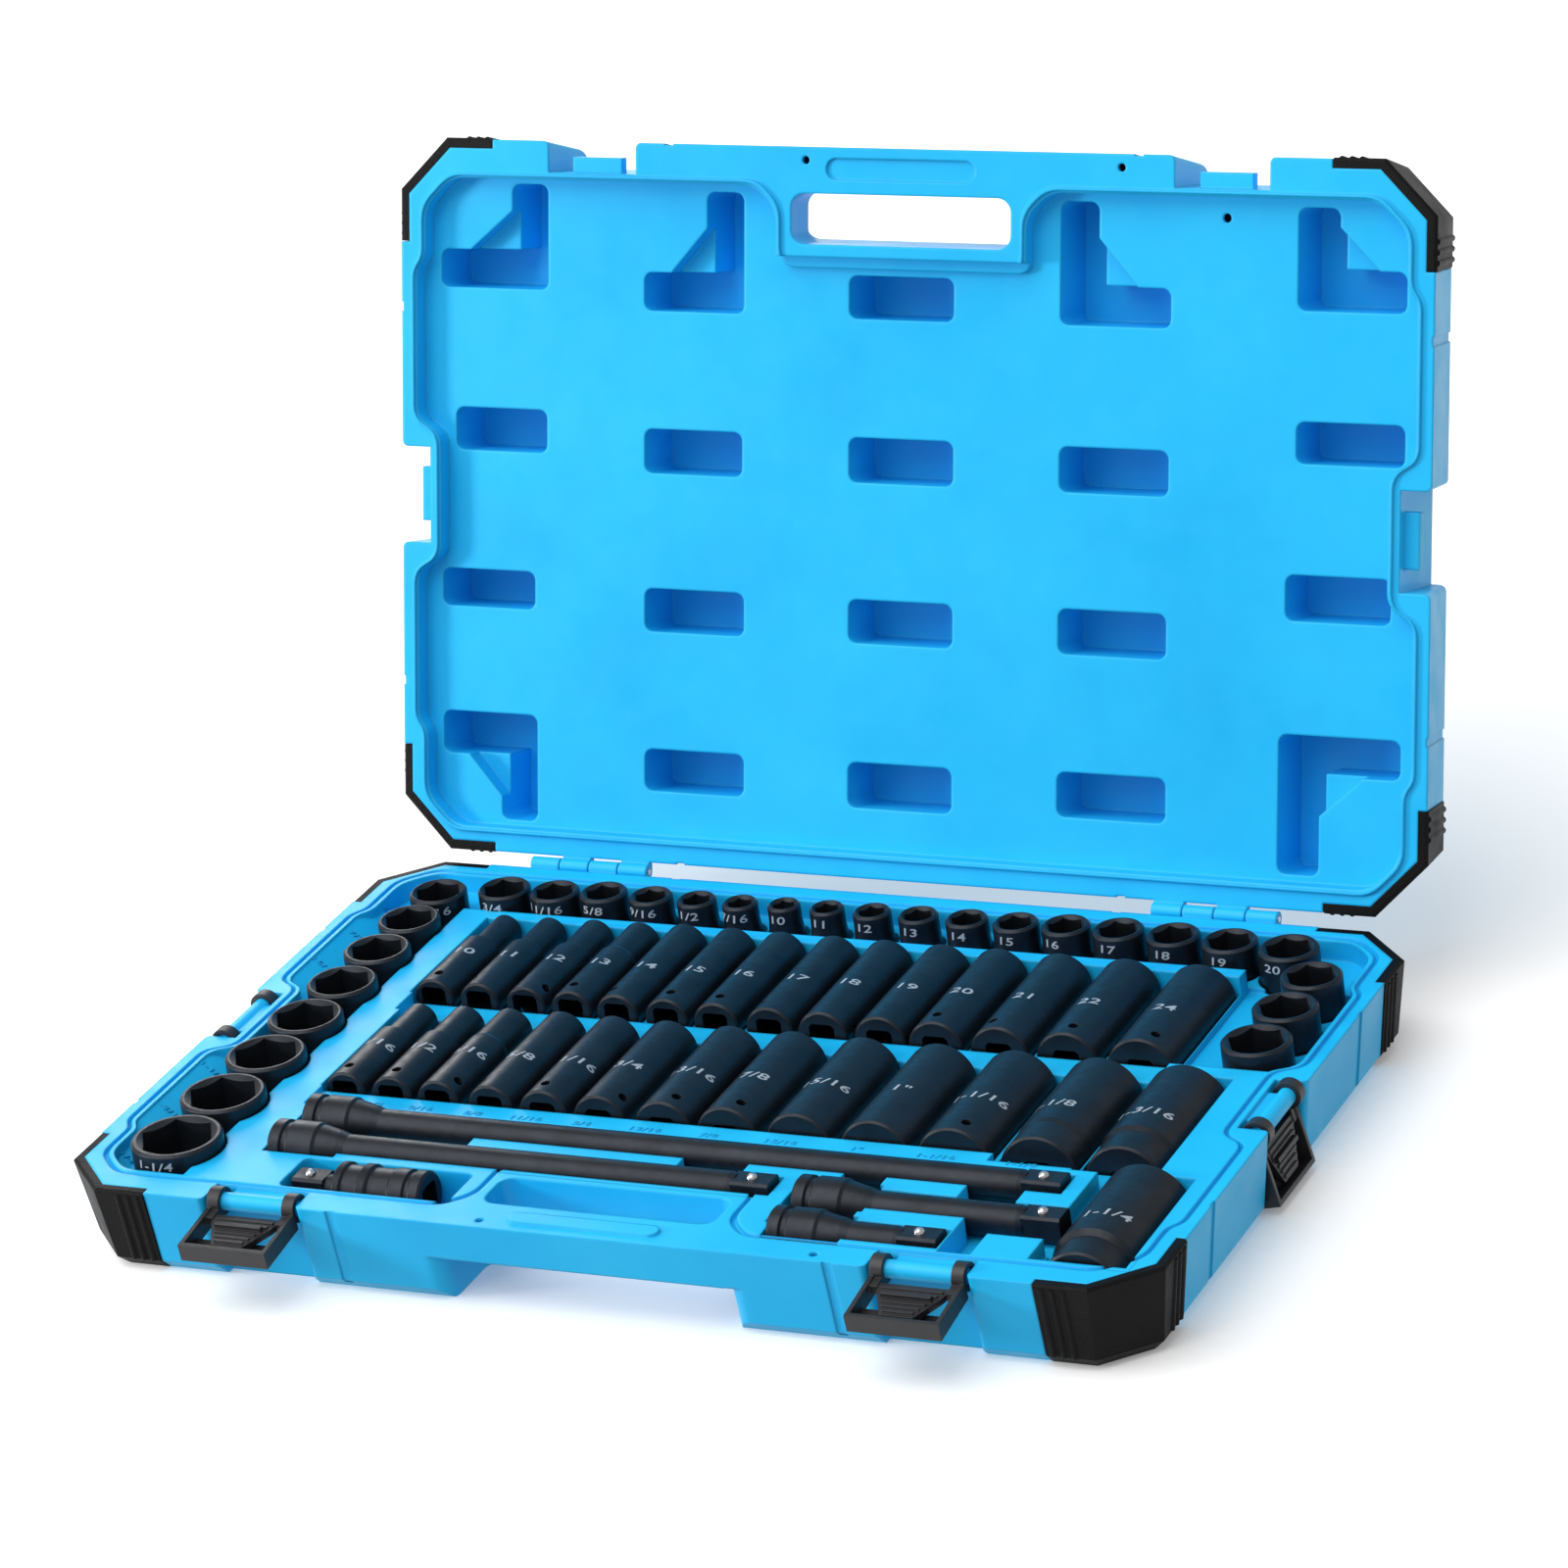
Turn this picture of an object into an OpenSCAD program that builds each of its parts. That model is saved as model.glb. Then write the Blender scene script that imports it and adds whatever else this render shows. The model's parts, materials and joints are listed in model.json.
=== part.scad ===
// Socket wrench set in a hinged, double-walled moulded case. Millimetres, +Z up.
// The origin is the centre of the base's underside, +X is to the right and -Y is the front with the handle.
// The lid is drawn shut and then turned about the hinge line to its open stop.

/* [Case] */
// Width across the closed case
case_w = 546; // [544:1:556]
// Depth from the front face to the back face
case_d = 356; // [354:1:362]
// Height of the base from its underside to the parting plane
base_h = 44; // [43:0.5:45]
// Height of the lid from the parting plane to its outer face
lid_h = 44; // [43:0.5:46]
// Leg of the chamfer across each upright corner
corner = 26; // [24:1:28]
// Thickness of the moulded skins
wall = 2.4; // [2:0.1:2.8]
// Angle that the lid stands open at
lid_open = 107.3; // [95:0.1:107.3]
// How far the sides lean in on their way to the bottom edge
side_lean = 5.7; // [4:0.1:6]
// Gap between the two rims when the case is shut
rim_gap = 0.4; // [0.3:0.1:0.6]

/* [Corner guards] */
// Thickness of the rubber guards
guard_t = 5; // [4.5:0.5:5]
// How far the guards stand out of the blue sides
guard_proud = 0.5; // [0.5:0.25:1.5]
// Reach of a guard along each side from the sharp corner
guard_leg = 52; // [48:1:54]

/* [Handle] */
// Length of the hand hole
grip_w = 116; // [110:1:120]
// Thickness of the handle bar from its top to its underside
grip_h = 20; // [18:1:22]

/* [Latches] */
// Width of a latch
latch_w = 45; // [44:0.5:46]
// Distance from a latch's pivot to its finger lip
latch_reach = 36; // [34:0.5:37]
// Radius of the moulded barrel that a latch turns on
barrel_r = 4.2; // [3.8:0.1:4.4]
// Angle from shut at which the two front latches stand
latch_open_front = 98; // [90:1:110]
// Angle from shut at which the two side latches hang
latch_open_side = 168; // [160:1:170]

/* [Tools] */
// Height that the sockets and bars stand above the parting plane
tool_top = 6.5; // [6:0.5:7]
// Length of a deep socket
deep_len = 80; // [78:0.5:80]
// Height of a shallow socket
shallow_len = 38; // [37:0.5:38]
// Size of the square drive holes
drive_hole = 12.9; // [12.8:0.1:13]
// Size of the square drive ends
drive_end = 12.6; // [12.4:0.1:12.7]
// Gap between a tool and the pocket it lies in
tool_gap = 0.8; // [0.6:0.1:1]

/* [Hidden] */
$fn = 64;
inch = 25.4;
rim = base_h;
hw = case_w / 2;
hd = case_d / 2;

// Sloping sides and the rounded bottom edge
edge_h = 6;
edge_in = side_lean + 6;
lean = atan(side_lean / (base_h - edge_h));
skin = guard_proud;

// Hinge line, its knuckles and pins
hinge_back = 4.2;
hinge_y = hd + hinge_back;
knuckle_r = 3.7;
knuckle_w = 15.6;
knuckle_pitch = 16.2;
pin_r = 1.5;
pin_fit = 0.06;
press = 0.02;
hinge_x = 167;

// Latch places and the recesses that they fold into
latch_x = 166;
latch_in = 8;
barrel_drop = 4;
recess_w = 48;
recess_deep = 16;
latch_fit = 0.08;
latch_depth = 8;
hook_r = 6.6;
hook_w = 6;
lug_w = 27;

// Hand hole, seen from above: its inner edge, and the bar in front of it
grip_y0 = -155;
grip_y1 = -130.5;
arch_w = 142;
arch_top = rim - grip_h;

// Field of the lid, which clears the standing tools
field_deep = 9.8;
field_x = hw - 9;
field_jog = 5;
field_y0 = -158.5;
field_y1 = 165.5;
relief_deep = 6.2;
basin_deep = 10;

// Deep sockets: name, hex size, nose diameter, body diameter, drive-end diameter, place across, roll of the pin hole
DEEP_BACK = [
    ["deep_socket_10mm", 10, 15.5, 21, 21, -182, 0],
    ["deep_socket_11mm", 11, 16.5, 21, 21, -157.5, -35],
    ["deep_socket_12mm", 12, 18, 21, 21, -132.5, 50],
    ["deep_socket_13mm", 13, 19.5, 21.5, 21.5, -108, -5],
    ["deep_socket_14mm", 14, 22, 22, 22, -83.5, -25],
    ["deep_socket_15mm", 15, 22.5, 22.5, 22.5, -57.5, 0],
    ["deep_socket_16mm", 16, 23.5, 23.5, 23.5, -31.5, 0],
    ["deep_socket_17mm", 17, 24.5, 24.5, 24.5, -3.5, -35],
    ["deep_socket_18mm", 18, 25.5, 25.5, 25.5, 24, 85],
    ["deep_socket_19mm", 19, 26.5, 26.5, 26.5, 53.5, 85],
    ["deep_socket_20mm", 20, 28, 28, 28, 82, -5],
    ["deep_socket_21mm", 21, 29.5, 29.5, 29.5, 114, -20],
    ["deep_socket_22mm", 22, 31, 31, 31, 148, 5],
    ["deep_socket_24mm", 24, 34, 34, 34, 184.5, 20]
];
DEEP_FRONT = [
    ["deep_socket_7_16in", 7 / 16 * inch, 16.5, 21, 21, -178, -5],
    ["deep_socket_1_2in", 1 / 2 * inch, 18.5, 21.5, 21.5, -153.5, 0],
    ["deep_socket_9_16in", 9 / 16 * inch, 20.5, 22, 22, -129, 45],
    ["deep_socket_5_8in", 5 / 8 * inch, 23.5, 23.5, 23.5, -101.5, -35],
    ["deep_socket_11_16in", 11 / 16 * inch, 25, 25, 25, -74, -5],
    ["deep_socket_3_4in", 3 / 4 * inch, 27, 27, 27, -45, 45],
    ["deep_socket_13_16in", 13 / 16 * inch, 29, 29, 29, -12.5, 20],
    ["deep_socket_7_8in", 7 / 8 * inch, 31, 31, 31, 20, 20],
    ["deep_socket_15_16in", 15 / 16 * inch, 33, 33, 33, 56, -45],
    ["deep_socket_1in", inch, 35, 35, 35, 94, -45],
    ["deep_socket_1_1_16in", 17 / 16 * inch, 37, 37, 37, 133, 15],
    ["deep_socket_1_1_8in", 9 / 8 * inch, 39, 39, 38, 174.5, 90],
    ["deep_socket_1_3_16in", 19 / 16 * inch, 41, 41, 38.5, 216, -60]
];
DEEP_CORNER = [["deep_socket_1_1_4in", 5 / 4 * inch, 43, 43, 38.5, 233.5, 90]];
deep_back_y = 38.5;
deep_front_y = -60.5;
deep_corner_y = -155;

// Shallow sockets: hex size, diameter at the hex end, diameter at the drive end, place across, place along
LEFT_X = -227;
SHALLOW_LEFT = [
    [5 / 4 * inch, 43.4, 43.4, LEFT_X, -133],
    [19 / 16 * inch, 41, 41, LEFT_X, -88.8],
    [9 / 8 * inch, 39, 39, LEFT_X, -46.8],
    [17 / 16 * inch, 36.7, 36.7, LEFT_X, -7],
    [inch, 34.7, 34.7, LEFT_X, 30.5],
    [15 / 16 * inch, 33.3, 33.3, LEFT_X, 67],
    [7 / 8 * inch, 31, 31, LEFT_X, 101],
    [13 / 16 * inch, 28.8, 28.8, LEFT_X, 132.5]
];
BACK_Y = 145.5;
SHALLOW_INCH = [
    [3 / 4 * inch, 26.4, 26.4, -194.5, 141.5],
    [11 / 16 * inch, 25, 25, -167, 142.5],
    [5 / 8 * inch, 24, 24.5, -141.5, BACK_Y],
    [9 / 16 * inch, 21.8, 23.5, -115.5, BACK_Y],
    [1 / 2 * inch, 19.6, 22, -90.5, BACK_Y],
    [7 / 16 * inch, 17.7, 21, -67, BACK_Y]
];
SHALLOW_METRIC = [
    [10, 16.3, 20.5, -44, 147],
    [11, 17.2, 20.8, -21, 147],
    [12, 18.8, 21.5, 3, 147],
    [13, 19.8, 22, 27.5, 147],
    [14, 20.9, 22.5, 53, 147],
    [15, 22.4, 23, 78.5, 147],
    [16, 23.8, 24, 104, 148],
    [17, 25.2, 25.5, 131, 148],
    [18, 26, 26.5, 159.5, 147],
    [19, 27, 27.5, 189, 145],
    [20, 29.2, 29.2, 219.5, 142.5]
];
SHALLOW_RIGHT = [
    [21, 29.4, 29.4, 240.5, 116.5],
    [22, 31.2, 31.2, 240, 83.5],
    [24, 33.2, 33.2, 239, 48.8]
];
PLAIN_BORES = [for (s = concat(SHALLOW_LEFT, SHALLOW_INCH, SHALLOW_METRIC, SHALLOW_RIGHT)) s];

// Extension bars: left end, right end, place along, head radius, shank radius, how much higher than the sockets
BAR_15 = [-180, 200.7, -89, 12, 7.7, 2.5];
BAR_10 = [-184, 70, -115.3, 12, 7.7, 2.5];
BAR_5 = [84, 212, -117.8, 12, 7.7, 1];
BAR_3 = [85, 165.5, -147, 11.5, 7.5, 1];
BARS = [BAR_15, BAR_10, BAR_5, BAR_3];
bar_head = 23;
bar_taper = 15;
square_len = 18;
ball_r = 2.7;
ball_back = 10;

// Universal joint: centre of its ball, and the place of its two ends
uj_ball = [-131, -144.3];
uj_left = -158;
uj_right = -90;
uj_r = 13;
uj_ball_r = 8.4;

DEEP_ALL = concat(DEEP_BACK, DEEP_FRONT, DEEP_CORNER);
DEEP_NAMES = [for (s = DEEP_ALL) s[0]];

blue = "deepskyblue";
black = [0.09, 0.09, 0.1];
steel_black = [0.13, 0.15, 0.2];
bright = [0.85, 0.85, 0.87];

// ---- Plan shapes ----

// Octagonal plan of the case, moved inwards by t
module plan(t = 0) {
    x = hw - t;
    y = hd - t;
    c = corner - t * (2 - sqrt(2));
    polygon([[x, y - c], [x - c, y], [c - x, y], [-x, y - c], [-x, c - y], [c - x, -y], [x - c, -y], [x, c - y]]);
}

// Square over one corner that a guard covers, grown by g
module corner_zone(sx, sy, g = 0) {
    reach = guard_leg + g;
    translate([sx * (hw - reach / 2 + 1), sy * (hd - reach / 2 + 1)]) square(reach + 2, center = true);
}

// Outline with each corner rounded over, starting up to r before it
function eased(path, r) = [
    for (i = [0:len(path) - 1])
        let (p = path[i], a = path[(i + len(path) - 1) % len(path)] - p, b = path[(i + 1) % len(path)] - p)
        let (reach = min(r, 0.45 * norm(a), 0.45 * norm(b)), u = a / norm(a) * reach, v = b / norm(b) * reach)
        for (t = [0:0.25:1]) p + u * (1 - t) * (1 - t) + v * t * t
];

// Plan of the lid's field, moved outwards by o. It steps in round the guards, the latches and the handle
module field_plan(o = 0) {
    x = field_x + o;
    xg = x - field_jog;
    y0 = field_y0 - o;
    y1 = field_y1 + o;
    c = 15 + o / 2;
    side = 251 + o;
    tab = 66 - o;
    tab_y = -119 - o;
    half = [
        [tab, tab_y], [tab, y0 + 12], [tab + 12, y0], [xg - c, y0], [xg, y0 + c], [xg, -119], [x, -112], [x, -38],
        [side, -31], [side, 31], [x, 38], [x, 112], [xg, 119], [xg, y1 - c], [xg - c, y1]
    ];
    n = len(half) - 1;
    polygon(eased(concat(half, [for (i = [n:-1:0]) [-half[i][0], half[i][1]]]), 7));
}

// Box given by its low and high corners, grown sideways and downwards by g
module well(x0, x1, y0, y1, floor_z, top_z, g = 0) {
    translate([x0 - g, y0 - g, floor_z - g]) cube([x1 - x0 + 2 * g, y1 - y0 + 2 * g, top_z - floor_z + g]);
}

// The same box with its four upright edges rounded to radius r
module round_well(x0, x1, y0, y1, floor_z, top_z, r, g = 0) {
    well(x0 + r, x1 - r, y0, y1, floor_z, top_z, g);
    well(x0, x1, y0 + r, y1 - r, floor_z, top_z, g);
    for (x = [x0 + r, x1 - r], y = [y0 + r, y1 - r])
        translate([x, y, floor_z - g]) cylinder(h = top_z - floor_z + g, r = r + g);
}

// Half of the case with its leaning sides, moved in by t. Its ends reach over further, and crown bevels its rim
module slab(h, t = 0, over = 0, crown = 0) {
    hull() {
        translate([0, 0, -over]) linear_extrude(0.1) plan(edge_in + t);
        translate([0, 0, edge_h]) linear_extrude(0.1) plan(side_lean + t);
        translate([0, 0, h - 0.1 - crown]) linear_extrude(0.1) plan(t);
        translate([0, 0, h - 0.1 + over]) linear_extrude(0.1) plan(t + crown);
    }
}

// Round tool for an outer upright edge at the rim's corner point, leaning with the side
module ease(x, y, turn, r, z0, z1) {
    translate([x, y, base_h]) rotate([0, 0, turn]) rotate([lean, 0, 0]) difference() {
        translate([-1, -1, z0 - base_h]) cube([r + 1, r + 1, z1 - z0]);
        translate([r, r, z0 - base_h - 1]) cylinder(h = z1 - z0 + 2, r = r);
    }
}

// The same tool for the edge's mirror image
module ease_pair(x, y, r, z0, z1) {
    ease(x, y, 0, r, z0, z1);
    mirror([1, 0, 0]) ease(x, y, 0, r, z0, z1);
}

// Eased edges of the arch and the latch recesses
module eases() {
    front = skin - hd;
    ease_pair(arch_w / 2, front, 9, -2, base_h - grip_h);
    ease_pair(latch_x + recess_w / 2, front, 3, -2, base_h + 2);
    ease_pair(recess_w / 2 - latch_x, front, 3, -2, base_h + 2);
    for (a = [-90, 90]) rotate([0, 0, a]) translate([0, hd - hw, 0])
        ease_pair(recess_w / 2, front, 3, -2, base_h + 2);
}

// Shallow upright channels in the outer faces
module channels(h) {
    difference() {
        union() {
            for (x = [-126, 121.5]) translate([x, -hd - 1, 4]) cube([4.5, 20, h]);
            for (x = [-120, 115.5]) translate([x, hd - 19, 4]) cube([4.5, 20, h]);
            for (y = [-96, 91.5]) translate([-hw - 1, y, 4]) cube([case_w + 2, 4.5, h]);
        }
        slab(h, skin + 0.8, 1);
    }
}

// Corner pockets for the guards, latch recesses, hand hole and arch, cut alike from both halves; g grows them
module side_cuts(h, g = 0) {
    difference() {
        for (sx = [-1, 1], sy = [-1, 1]) translate([0, 0, -0.5]) linear_extrude(h + 1) corner_zone(sx, sy, g);
        slab(h, guard_t + g, 1);
    }
    for (sx = [-1, 1])
        well(sx * latch_x - recess_w / 2, sx * latch_x + recess_w / 2, -hd - 1, recess_deep - hd, -1, h + 1, g);
    for (sx = [-1, 1])
        translate([sx * (hw - recess_deep / 2 + 0.5), 0, h / 2])
            cube([recess_deep + 1 + 2 * g, recess_w + 2 * g, h + 2 + 2 * g], center = true);
    round_well(-grip_w / 2, grip_w / 2, grip_y0, grip_y1, -1, h + 1, 7, g);
    round_well(-arch_w / 2, arch_w / 2, -hd - 20, grip_y1, -1, h - grip_h, 9, g);
    if (g > 0)
        for (x = [-arch_w / 2 - 8, arch_w / 2 - 8]) translate([x, -hd, -1]) cube([16, 20, h + 2]);
}

// Plain half of the case with everything that is cut into its sides
module half_block(h) {
    difference() {
        slab(h, skin);
        side_cuts(h);
        channels(h);
        translate([0, 0, h - base_h]) eases();
    }
}

// What the air space may fill in one half
module half_core(h) {
    intersection() {
        slab(h, skin + wall);
        translate([-hw, -hd, wall]) cube([case_w, case_d, h - 2 * wall]);
    }
}

// ---- Base ----

function deep_z(s) = rim + tool_top - max(s[3], s[4]) / 2;

// Trough and cradles for one row of deep sockets, grown by g
module deep_pockets(row, y0, g = 0) {
    n = len(row) - 1;
    x0 = row[0][5] - row[0][3] / 2 - 1.5;
    x1 = row[n][5] + row[n][3] / 2 + 1.5;
    well(x0, x1, y0 - 1.5, y0 + deep_len + 1.5, rim - 9, rim + 1, g);
    for (s = row)
        translate([s[5], y0 - 1.5 - g, deep_z(s)])
            rotate([-90, 0, 0]) cylinder(h = deep_len + 3 + 2 * g, r = s[3] / 2 + tool_gap + g);
}

// Round wells for the shallow sockets, grown by g
module shallow_pockets(g = 0) {
    floor_z = rim + tool_top - shallow_len - 0.4;
    for (s = PLAIN_BORES)
        translate([s[3], s[4], floor_z - g]) cylinder(h = rim - floor_z + 1 + g, r = s[2] / 2 + 1.1 + g);
}

// Sunken floor round the shallow sockets, sloping at the left, and the low strips beside the deep ones
module basins(g = 0) {
    low = rim - basin_deep;
    slope_x = 1.5 - field_x;
    intersection() {
        translate([0, 0, rim - 24]) linear_extrude(26) field_plan(g - 1.5);
        union() {
            translate([0, hd, 0]) rotate([90, 0, 0]) linear_extrude(case_d) polygon([
                [-hw, rim + 3], [-hw, rim - 1.2 * g], [slope_x, rim - 1 - 1.2 * g], [slope_x + 11, low - g],
                [g - 211, low - g], [g - 211, rim + 3]
            ]);
            well(-hw, hw, 128, hd, low, rim + 3, g);
            well(203, hw, 30.5, 129, low - 2, rim + 3, g);
        }
    }
    well(-192.5, 203, 19, 38, rim - 6, rim + 1, g);
    well(-189, 196, -80.5, -61, rim - 3, rim + 1, g);
    well(154, 197, -69, -60, rim - 9, rim + 1, g);
    well(195, 238, -75.5, -60, rim - 9, rim + 1, g);
}

function bar_z(b) = rim + tool_top + b[5] - b[3];

// Cradle of one extension bar: a wide end for the head, a narrow one for the shank
module bar_pocket(b, g = 0) {
    z = bar_z(b);
    split = b[0] + bar_head + bar_taper - 2;
    translate([b[0] - 1.5 - g, b[2], z]) rotate([0, 90, 0]) cylinder(h = split - b[0] + 1.5 + 2 * g, r = b[3] + 0.6 + g);
    well(b[0] - 1.5, split, b[2] - b[3] - 0.6, b[2] + b[3] + 0.6, z, rim + 1, g);
    well(split - 1, b[1] + 1.5, b[2] - b[4] - 1.3, b[2] + b[4] + 1.3, z - b[4] - 1, rim + 1, g);
}

// Low ground between the bars' raised islands, as [x0, x1, y0, y1, depth]
LOWS = [
    [-184, -90, -115, -89, 8], [17, 50, -115, -89, 8], [97, 118, -117, -89, 8], [157, 185, -117, -89, 8],
    [80.5, 118, -147, -118, 8], [168, 184, -158, -118, 13], [183, 213, -138.5, -118, 13]
];

// The low ground and the pocket of the universal joint
module scoops(g = 0) {
    z = rim + tool_top - uj_r;
    round_well(uj_left - 3, uj_right + 17, uj_ball[1] - 13.9, uj_ball[1] + 13.9, z - uj_r - 0.6, rim + 1, 4, g);
    for (l = LOWS) well(l[0], l[1], l[2], l[3], rim - l[4], rim + 1, g);
}

// All the hollows of the tray, grown by g
module tray(g = 0) {
    deep_pockets(DEEP_BACK, deep_back_y, g);
    deep_pockets(DEEP_FRONT, deep_front_y, g);
    deep_pockets(DEEP_CORNER, deep_corner_y, g);
    shallow_pockets(g);
    basins(g);
    for (b = BARS) bar_pocket(b, g);
    scoops(g);
}

// Air space of the double wall, between the tray and the outer skin
module base_cavity() {
    difference() {
        half_core(base_h);
        side_cuts(base_h, wall);
        tray(wall);
    }
}

// Barrel that a front latch turns on, with the web that carries it
module barrel(x, y, turn) {
    translate([x, y, 0]) rotate([0, 0, turn]) {
        translate([-21.5, 0, rim - barrel_drop]) rotate([0, 90, 0]) cylinder(h = 43, r = barrel_r);
        translate([-14, 0, rim - barrel_drop - 3.2]) cube([28, latch_in + 1, 5.6]);
    }
}

LATCHES = [[-latch_x, latch_in - hd, 0], [latch_x, latch_in - hd, 0], [latch_in - hw, 0, -90], [hw - latch_in, 0, 90]];

// Knuckles of one hinge cluster; those with the given parity belong to this half
module knuckles(cx, parity, drop) {
    for (i = [0:3])
        if (i % 2 == parity)
            translate([cx + (i - 2) * knuckle_pitch + 0.3, 0, 0]) {
                translate([0, hinge_y, rim]) rotate([0, 90, 0]) cylinder(h = knuckle_w, r = knuckle_r);
                translate([0, hd - 4, rim + (drop ? -knuckle_r : rim_gap)])
                    cube([knuckle_w, hinge_back + 4, knuckle_r - rim_gap]);
            }
}

// Holes for the two hinge pins, with the given radial play
module hinge_bores(play) {
    for (cx = [-hinge_x, hinge_x])
        translate([cx - 34, hinge_y, rim]) rotate([0, 90, 0]) cylinder(h = 68, r = pin_r + play);
}

// Moulded base: outer block, tray, seal groove, latch barrels and hinge knuckles
module base_moulding() {
    difference() {
        union() {
            half_block(base_h);
            for (l = LATCHES) barrel(l[0], l[1], l[2]);
            knuckles(-hinge_x, 0, true);
            knuckles(hinge_x, 1, true);
            translate([0, grip_y0 - 12, rim - 1]) seam_pad(33, 2.4);
        }
        tray();
        difference() {
            translate([0, 0, rim - 1.6]) linear_extrude(3) field_plan(3);
            translate([0, 0, rim - 3]) linear_extrude(5) field_plan(0.7);
        }
        base_cavity();
        hinge_bores(-press);
        translate([-170, 126, -1]) cylinder(h = 8, r = 2.2);
        for (x = [-50, 115]) translate([x, -171, rim - 9]) cylinder(h = 12, r = 2);
    }
}

// Space of the inner skin, grown by g. It meets the outer shell in the bottom of the seal groove
module inner_skin(g = 0) {
    tray(wall + g);
    translate([0, 0, rim - wall - g]) linear_extrude(wall + 2) field_plan(1.85 + g);
}

module base_shell() {
    color(blue) difference() {
        base_moulding();
        inner_skin(0.01);
    }
}

// Inner skin of the base, with the pockets of all the tools
module base_tray() {
    color(blue) intersection() {
        base_moulding();
        inner_skin();
    }
}

// Long pad with round ends on the handle bar
module seam_pad(reach, h, r = 4.6) {
    for (x = [-reach, reach]) translate([x, 0, 0]) cylinder(h = h, r = r);
    translate([-reach, -r, 0]) cube([2 * reach, 2 * r, h]);
}

// ---- Lid, drawn shut ----

// Tack-offs that join the lid's two skins, as [x0, x1, y0, y1] with y measured from the middle
TACKS = [
    [-255, -195, -122.5, -103.5], [-215, -195, -155.5, -103.5], [-142, -87.5, -114, -95], [-107.5, -87.5, -154, -95],
    [-31, 24.5, -115.5, -94.5], [80, 137, -114, -95], [80, 100, -154, -95], [201, 255.5, -125, -105.5],
    [201, 222, -154, -105.5], [-247, -196, -44, -22.5], [-142, -88.5, -37, -15], [-31, 24.5, -37, -15],
    [80, 136.5, -37, -15], [201, 255.5, -53.5, -33.5], [-255, -203, 37, 56], [-142, -87.5, 42, 63.5],
    [-31, 24.5, 42, 63.5], [80, 136, 41, 63], [196.5, 249.5, 19, 41], [-255, -202, 109, 130.5],
    [-222, -202, 109, 162.5], [-142, -87.5, 122, 143], [-31, 24.5, 122, 144.5], [80, 136.5, 120, 142],
    [194, 255.5, 95, 114], [194, 215, 95, 162]
];

// Corner webs of the L-shaped tack-offs: the two ends of each slanted edge, and the inner corner
WEBS = [
    [[-239, -122], [-214, -143], [-214, -122]], [[-128, -113], [-106, -138], [-106, -113]],
    [[121, -113], [99, -138], [99, -113]], [[243, -124], [221, -146], [221, -124]],
    [[-242, 129], [-221, 152], [-221, 129]], [[238, 113], [214, 134], [214, 113]]
];

module tacks(g = 0) {
    top = base_h + lid_h - wall - 1;
    spread = 1 + g * 0.075;
    for (t = TACKS)
        if (g > 0)
            well(t[0], t[1], t[2], t[3], rim + g, top + g, g);
        else
            round_well(t[0], t[1], t[2], t[3], rim, top, 4.5);
    for (w = WEBS)
        translate([0, 0, rim]) linear_extrude(19 + g)
            polygon([w[2] + (w[0] - w[2]) * spread, w[2] + (w[1] - w[2]) * spread, w[2]]);
}

// Catch that a latch snaps over, on the floor of its recess
module lug(x, y, turn) {
    translate([x, y, 0]) rotate([0, 0, turn])
        translate([-lug_w / 2, 0.5, rim + 6.5]) cube([lug_w, latch_in + 0.5, 5]);
}

// Puts a half drawn upright upside down over the base
module over_base() {
    translate([0, 0, base_h + lid_h]) mirror([0, 0, 1]) children();
}

// Field and tack-offs of the lid, grown by g
module lid_hollows(g = 0) {
    translate([0, 0, rim - g]) linear_extrude(field_deep + 2 * g) field_plan(g);
    well(-68, 68, -124.5, -110, rim - 1, rim + relief_deep + g, g);
    translate([0, grip_y0 - 12, rim - 1 - g]) seam_pad(34, 2.8 + 2 * g, 5.2 + g);
    tacks(g);
}

module lid_cavity() {
    difference() {
        over_base() half_core(lid_h - rim_gap);
        over_base() side_cuts(lid_h, wall);
        lid_hollows(wall);
    }
}

module lid_shut() {
    difference() {
        union() {
            over_base() half_block(lid_h - rim_gap);
            for (l = LATCHES) lug(l[0], l[1], l[2]);
            knuckles(-hinge_x, 1, false);
            knuckles(hinge_x, 0, false);
        }
        lid_hollows();
        lid_cavity();
        hinge_bores(pin_fit);
        for (x = [-50, 115]) translate([x, -171, rim - 1]) cylinder(h = 9, r = 2);
        translate([165, -148, rim - 1]) cylinder(h = 20, r = 2.2);
    }
    difference() {
        translate([0, 0, rim - 1.2]) linear_extrude(2.2) field_plan(2.5);
        translate([0, 0, rim - 2]) linear_extrude(5) field_plan(1.2);
        translate([-68, -124.5, rim - 2]) cube([136, 14.5, 5]);
    }
}

// Turns a part drawn shut to the lid's open place
module opened() {
    translate([0, hinge_y, rim]) rotate([-lid_open, 0, 0]) translate([0, -hinge_y, -rim]) children();
}

module lid_shell() {
    color(blue) opened() lid_shut();
}

// ---- Corner guards ----

// One guard of a half: a wrapped strip with a bevelled rim and three upright ribs at each end
module guard(sx, sy, h) {
    lip = 0.35;
    difference() {
        union() {
            intersection() {
                slab(h, 0, 0, 1.2);
                translate([0, 0, -1]) linear_extrude(h + 2) corner_zone(sx, sy, -lip);
            }
            for (i = [0:2]) {
                along = guard_leg - 4 - 5 * i;
                translate([sx * (hw - 0.6), sy * (hd - along), h]) rotate([0, sx * lean, 0])
                    translate([0, 0, edge_h - h]) cylinder(h = h - edge_h - 2, r = 1.7);
                translate([sx * (hw - along), sy * (hd - 0.6), h]) rotate([-sy * lean, 0, 0])
                    translate([0, 0, edge_h - h]) cylinder(h = h - edge_h - 2, r = 1.7);
            }
        }
        slab(h, guard_t - 0.01, 1);
    }
}

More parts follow.
